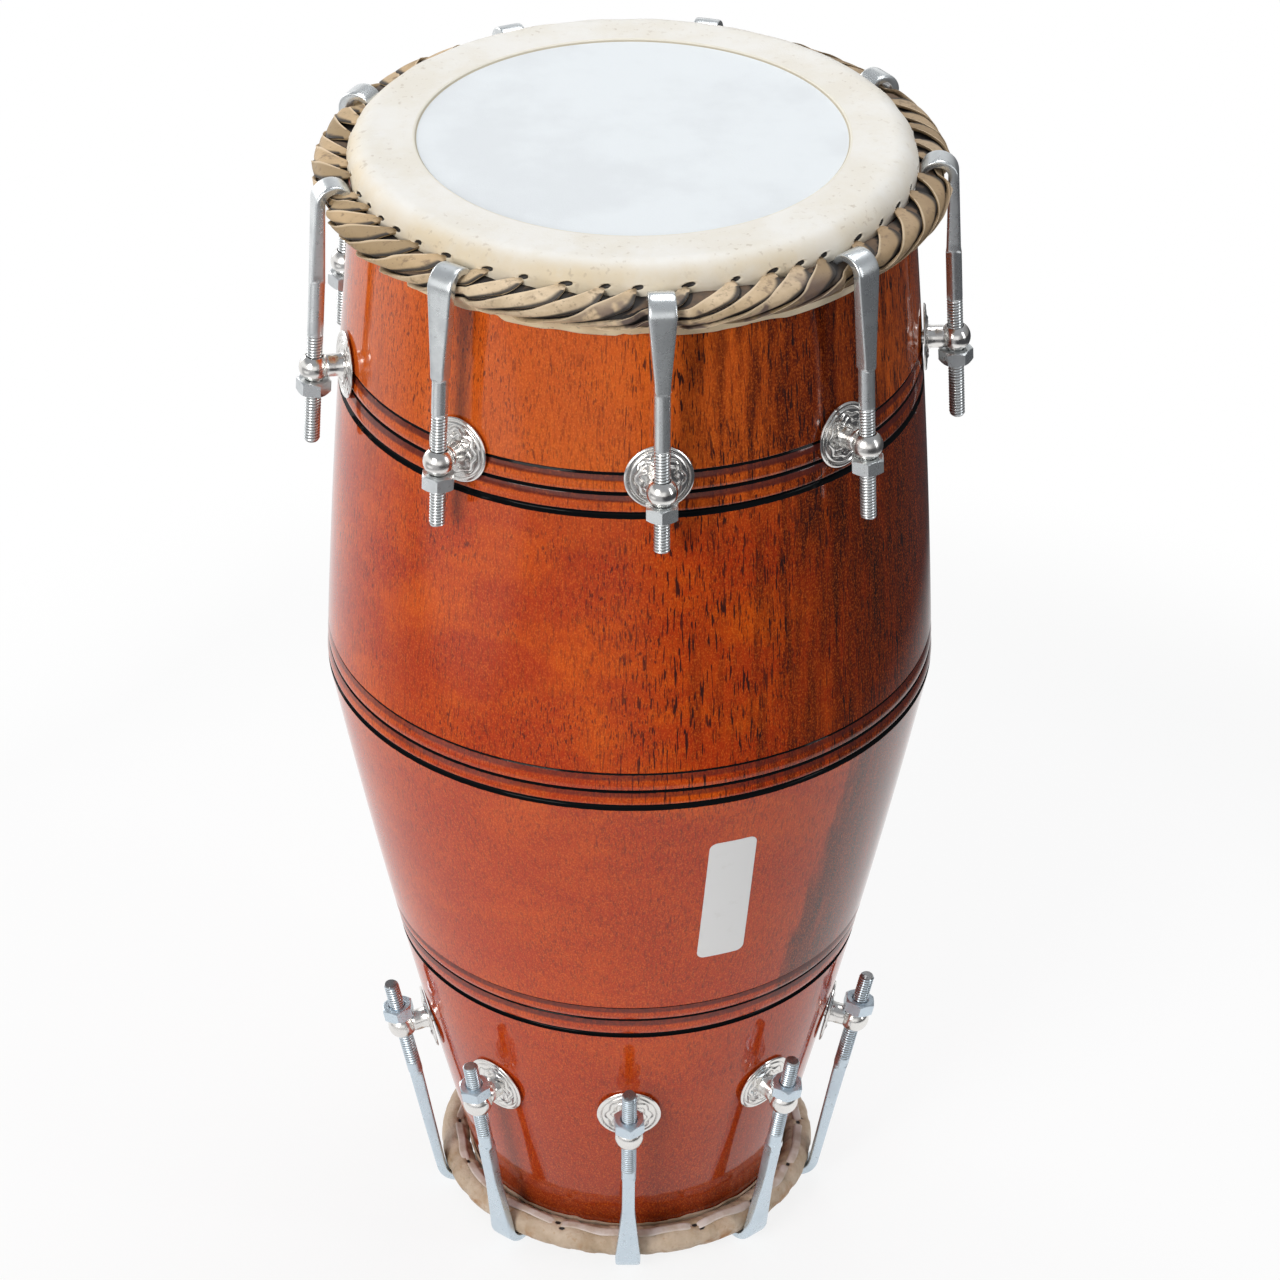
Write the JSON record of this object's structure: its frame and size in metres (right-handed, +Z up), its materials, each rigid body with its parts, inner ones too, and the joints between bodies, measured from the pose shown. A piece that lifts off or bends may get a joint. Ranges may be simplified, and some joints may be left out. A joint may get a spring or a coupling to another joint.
{
  "type": "naal drum",
  "caption": "Bolt-tuned barrel drum standing on its smaller head: turned wooden shell, braided bass head, skin-wrapped treble ring, hooked tension rods drawn by nuts through eye bolts.",
  "frame": {"origin": "on the floor plane, on the drum's own axis, at the middle of the treble rim that it stands on", "axes": "+Z up the drum's axis from the treble head to the bass head; -Y is the side that faces the camera; +X to the camera's right"},
  "size_m": [0.2663, 0.266, 0.5],
  "materials": {
    "varnished_wood": "red-brown stain under gloss varnish",
    "head_skin": "scraped rawhide, translucent",
    "strap_leather": "tan strap leather, worn",
    "ring_leather": "rawhide wrapped tight round an iron ring",
    "dull_zinc": "dull zinc plate",
    "polished_nickel": "bright nickel plate",
    "black_paste": "dried black paste"
  },
  "bodies": {
    "drum": {"shell": "varnished_wood", "bass_head_skin": "head_skin", "bass_braid": "strap_leather", "treble_head_skin": "head_skin", "treble_ring": "ring_leather", "treble_tuning_patch": "black_paste", "bass_eye_bolt_1": "polished_nickel", "bass_eye_bolt_2": "polished_nickel", "bass_eye_bolt_3": "polished_nickel", "bass_eye_bolt_4": "polished_nickel", "bass_eye_bolt_5": "polished_nickel", "bass_eye_bolt_6": "polished_nickel", "bass_eye_bolt_7": "polished_nickel", "bass_eye_bolt_8": "polished_nickel", "bass_eye_bolt_9": "polished_nickel", "treble_eye_bolt_1": "polished_nickel", "treble_eye_bolt_2": "polished_nickel", "treble_eye_bolt_3": "polished_nickel", "treble_eye_bolt_4": "polished_nickel", "treble_eye_bolt_5": "polished_nickel", "treble_eye_bolt_6": "polished_nickel", "treble_eye_bolt_7": "polished_nickel", "treble_eye_bolt_8": "polished_nickel", "treble_eye_bolt_9": "polished_nickel"},
    "bass_hook_1": {"bass_hook_1": "dull_zinc"},
    "bass_nut_1": {"bass_nut_1": "dull_zinc"},
    "bass_hook_2": {"bass_hook_2": "dull_zinc"},
    "bass_nut_2": {"bass_nut_2": "dull_zinc"},
    "bass_hook_3": {"bass_hook_3": "dull_zinc"},
    "bass_nut_3": {"bass_nut_3": "dull_zinc"},
    "bass_hook_4": {"bass_hook_4": "dull_zinc"},
    "bass_nut_4": {"bass_nut_4": "dull_zinc"},
    "bass_hook_5": {"bass_hook_5": "dull_zinc"},
    "bass_nut_5": {"bass_nut_5": "dull_zinc"},
    "bass_hook_6": {"bass_hook_6": "dull_zinc"},
    "bass_nut_6": {"bass_nut_6": "dull_zinc"},
    "bass_hook_7": {"bass_hook_7": "dull_zinc"},
    "bass_nut_7": {"bass_nut_7": "dull_zinc"},
    "bass_hook_8": {"bass_hook_8": "dull_zinc"},
    "bass_nut_8": {"bass_nut_8": "dull_zinc"},
    "bass_hook_9": {"bass_hook_9": "dull_zinc"},
    "bass_nut_9": {"bass_nut_9": "dull_zinc"},
    "treble_hook_1": {"treble_hook_1": "dull_zinc"},
    "treble_nut_1": {"treble_nut_1": "dull_zinc"},
    "treble_hook_2": {"treble_hook_2": "dull_zinc"},
    "treble_nut_2": {"treble_nut_2": "dull_zinc"},
    "treble_hook_3": {"treble_hook_3": "dull_zinc"},
    "treble_nut_3": {"treble_nut_3": "dull_zinc"},
    "treble_hook_4": {"treble_hook_4": "dull_zinc"},
    "treble_nut_4": {"treble_nut_4": "dull_zinc"},
    "treble_hook_5": {"treble_hook_5": "dull_zinc"},
    "treble_nut_5": {"treble_nut_5": "dull_zinc"},
    "treble_hook_6": {"treble_hook_6": "dull_zinc"},
    "treble_nut_6": {"treble_nut_6": "dull_zinc"},
    "treble_hook_7": {"treble_hook_7": "dull_zinc"},
    "treble_nut_7": {"treble_nut_7": "dull_zinc"},
    "treble_hook_8": {"treble_hook_8": "dull_zinc"},
    "treble_nut_8": {"treble_nut_8": "dull_zinc"},
    "treble_hook_9": {"treble_hook_9": "dull_zinc"},
    "treble_nut_9": {"treble_nut_9": "dull_zinc"}
  },
  "joints": [
    {"name": "bass_nut_1_turn", "type": "hinge", "parent": "drum", "child": "bass_nut_1", "pos_m": [0.01181, -0.12729, 0.41497], "axis": [0.0055, -0.0593, -0.9982], "range_deg": [0, 2835]},
    {"name": "bass_hook_1_slide", "type": "slide", "parent": "drum", "child": "bass_hook_1", "axis": [-0.0055, 0.0593, 0.9982], "range_m": [0, 0.01]},
    {"name": "bass_nut_2_turn", "type": "hinge", "parent": "drum", "child": "bass_nut_2", "pos_m": [0.08976, -0.09102, 0.41497], "axis": [0.0418, -0.0424, -0.9982], "range_deg": [0, 2835]},
    {"name": "bass_hook_2_slide", "type": "slide", "parent": "drum", "child": "bass_hook_2", "axis": [-0.0418, 0.0424, 0.9982], "range_m": [0, 0.01]},
    {"name": "bass_nut_3_turn", "type": "hinge", "parent": "drum", "child": "bass_nut_3", "pos_m": [0.12771, -0.00558, 0.41497], "axis": [0.0595, -0.0026, -0.9982], "range_deg": [0, 2835]},
    {"name": "bass_hook_3_slide", "type": "slide", "parent": "drum", "child": "bass_hook_3", "axis": [-0.0595, 0.0026, 0.9982], "range_m": [0, 0.01]},
    {"name": "bass_nut_4_turn", "type": "hinge", "parent": "drum", "child": "bass_nut_4", "pos_m": [0.10471, 0.07332, 0.41497], "axis": [0.0488, 0.0341, -0.9982], "range_deg": [0, 2835]},
    {"name": "bass_hook_4_slide", "type": "slide", "parent": "drum", "child": "bass_hook_4", "axis": [-0.0488, -0.0341, 0.9982], "range_m": [0, 0.01]},
    {"name": "bass_nut_5_turn", "type": "hinge", "parent": "drum", "child": "bass_nut_5", "pos_m": [0.03222, 0.1237, 0.41497], "axis": [0.015, 0.0576, -0.9982], "range_deg": [0, 2835]},
    {"name": "bass_hook_5_slide", "type": "slide", "parent": "drum", "child": "bass_hook_5", "axis": [-0.015, -0.0576, 0.9982], "range_m": [0, 0.01]},
    {"name": "bass_nut_6_turn", "type": "hinge", "parent": "drum", "child": "bass_nut_6", "pos_m": [-0.05362, 0.11604, 0.41497], "axis": [-0.025, 0.054, -0.9982], "range_deg": [0, 2835]},
    {"name": "bass_hook_6_slide", "type": "slide", "parent": "drum", "child": "bass_hook_6", "axis": [0.025, -0.054, 0.9982], "range_m": [0, 0.01]},
    {"name": "bass_nut_7_turn", "type": "hinge", "parent": "drum", "child": "bass_nut_7", "pos_m": [-0.11585, 0.05402, 0.41497], "axis": [-0.054, 0.0252, -0.9982], "range_deg": [0, 2835]},
    {"name": "bass_hook_7_slide", "type": "slide", "parent": "drum", "child": "bass_hook_7", "axis": [0.054, -0.0252, 0.9982], "range_m": [0, 0.01]},
    {"name": "bass_nut_8_turn", "type": "hinge", "parent": "drum", "child": "bass_nut_8", "pos_m": [-0.12342, -0.0333, 0.41497], "axis": [-0.0575, -0.0155, -0.9982], "range_deg": [0, 2835]},
    {"name": "bass_hook_8_slide", "type": "slide", "parent": "drum", "child": "bass_hook_8", "axis": [0.0575, 0.0155, 0.9982], "range_m": [0, 0.01]},
    {"name": "bass_nut_9_turn", "type": "hinge", "parent": "drum", "child": "bass_nut_9", "pos_m": [-0.0724, -0.10535, 0.41497], "axis": [-0.0337, -0.0491, -0.9982], "range_deg": [0, 2835]},
    {"name": "bass_hook_9_slide", "type": "slide", "parent": "drum", "child": "bass_hook_9", "axis": [0.0337, 0.0491, 0.9982], "range_m": [0, 0.01]},
    {"name": "treble_nut_1_turn", "type": "hinge", "parent": "drum", "child": "treble_nut_1", "pos_m": [0.00103, -0.09875, 0.08758], "axis": [0.0021, -0.2026, 0.9792], "range_deg": [0, 2835]},
    {"name": "treble_hook_1_slide", "type": "slide", "parent": "drum", "child": "treble_hook_1", "axis": [-0.0021, 0.2026, -0.9792], "range_m": [0, 0.01]},
    {"name": "treble_nut_2_turn", "type": "hinge", "parent": "drum", "child": "treble_nut_2", "pos_m": [0.06556, -0.07385, 0.08758], "axis": [0.1346, -0.1515, 0.9792], "range_deg": [0, 2835]},
    {"name": "treble_hook_2_slide", "type": "slide", "parent": "drum", "child": "treble_hook_2", "axis": [-0.1346, 0.1515, -0.9792], "range_m": [0, 0.01]},
    {"name": "treble_nut_3_turn", "type": "hinge", "parent": "drum", "child": "treble_nut_3", "pos_m": [0.09737, -0.01647, 0.08758], "axis": [0.1998, -0.0338, 0.9792], "range_deg": [0, 2835]},
    {"name": "treble_hook_3_slide", "type": "slide", "parent": "drum", "child": "treble_hook_3", "axis": [-0.1998, 0.0338, -0.9792], "range_m": [0, 0.01]},
    {"name": "treble_nut_4_turn", "type": "hinge", "parent": "drum", "child": "treble_nut_4", "pos_m": [0.08465, 0.05086, 0.08758], "axis": [0.1737, 0.1044, 0.9792], "range_deg": [0, 2835]},
    {"name": "treble_hook_4_slide", "type": "slide", "parent": "drum", "child": "treble_hook_4", "axis": [-0.1737, -0.1044, -0.9792], "range_m": [0, 0.01]},
    {"name": "treble_nut_5_turn", "type": "hinge", "parent": "drum", "child": "treble_nut_5", "pos_m": [0.03248, 0.09326, 0.08758], "axis": [0.0666, 0.1914, 0.9792], "range_deg": [0, 2835]},
    {"name": "treble_hook_5_slide", "type": "slide", "parent": "drum", "child": "treble_hook_5", "axis": [-0.0666, -0.1914, -0.9792], "range_m": [0, 0.01]},
    {"name": "treble_nut_6_turn", "type": "hinge", "parent": "drum", "child": "treble_nut_6", "pos_m": [-0.03571, 0.09207, 0.08758], "axis": [-0.0733, 0.1889, 0.9792], "range_deg": [0, 2835]},
    {"name": "treble_hook_6_slide", "type": "slide", "parent": "drum", "child": "treble_hook_6", "axis": [0.0733, -0.1889, -0.9792], "range_m": [0, 0.01]},
    {"name": "treble_nut_7_turn", "type": "hinge", "parent": "drum", "child": "treble_nut_7", "pos_m": [-0.08637, 0.04788, 0.08758], "axis": [-0.1773, 0.0983, 0.9792], "range_deg": [0, 2835]},
    {"name": "treble_hook_7_slide", "type": "slide", "parent": "drum", "child": "treble_hook_7", "axis": [0.1773, -0.0983, -0.9792], "range_m": [0, 0.01]},
    {"name": "treble_nut_8_turn", "type": "hinge", "parent": "drum", "child": "treble_nut_8", "pos_m": [-0.09606, -0.02289, 0.08758], "axis": [-0.1971, -0.047, 0.9792], "range_deg": [0, 2835]},
    {"name": "treble_hook_8_slide", "type": "slide", "parent": "drum", "child": "treble_hook_8", "axis": [0.1971, 0.047, -0.9792], "range_m": [0, 0.01]},
    {"name": "treble_nut_9_turn", "type": "hinge", "parent": "drum", "child": "treble_nut_9", "pos_m": [-0.06228, -0.07664, 0.08758], "axis": [-0.1278, -0.1573, 0.9792], "range_deg": [0, 2835]},
    {"name": "treble_hook_9_slide", "type": "slide", "parent": "drum", "child": "treble_hook_9", "axis": [0.1278, 0.1573, -0.9792], "range_m": [0, 0.01]}
  ],
  "couplings": [
    {"joint": "bass_nut_1_turn", "follows": "bass_hook_1_slide", "rad_per_m": 4947.4},
    {"joint": "bass_nut_2_turn", "follows": "bass_hook_2_slide", "rad_per_m": 4947.4},
    {"joint": "bass_nut_3_turn", "follows": "bass_hook_3_slide", "rad_per_m": 4947.4},
    {"joint": "bass_nut_4_turn", "follows": "bass_hook_4_slide", "rad_per_m": 4947.4},
    {"joint": "bass_nut_5_turn", "follows": "bass_hook_5_slide", "rad_per_m": 4947.4},
    {"joint": "bass_nut_6_turn", "follows": "bass_hook_6_slide", "rad_per_m": 4947.4},
    {"joint": "bass_nut_7_turn", "follows": "bass_hook_7_slide", "rad_per_m": 4947.4},
    {"joint": "bass_nut_8_turn", "follows": "bass_hook_8_slide", "rad_per_m": 4947.4},
    {"joint": "bass_nut_9_turn", "follows": "bass_hook_9_slide", "rad_per_m": 4947.4},
    {"joint": "treble_nut_1_turn", "follows": "treble_hook_1_slide", "rad_per_m": 4947.4},
    {"joint": "treble_nut_2_turn", "follows": "treble_hook_2_slide", "rad_per_m": 4947.4},
    {"joint": "treble_nut_3_turn", "follows": "treble_hook_3_slide", "rad_per_m": 4947.4},
    {"joint": "treble_nut_4_turn", "follows": "treble_hook_4_slide", "rad_per_m": 4947.4},
    {"joint": "treble_nut_5_turn", "follows": "treble_hook_5_slide", "rad_per_m": 4947.4},
    {"joint": "treble_nut_6_turn", "follows": "treble_hook_6_slide", "rad_per_m": 4947.4},
    {"joint": "treble_nut_7_turn", "follows": "treble_hook_7_slide", "rad_per_m": 4947.4},
    {"joint": "treble_nut_8_turn", "follows": "treble_hook_8_slide", "rad_per_m": 4947.4},
    {"joint": "treble_nut_9_turn", "follows": "treble_hook_9_slide", "rad_per_m": 4947.4}
  ]
}
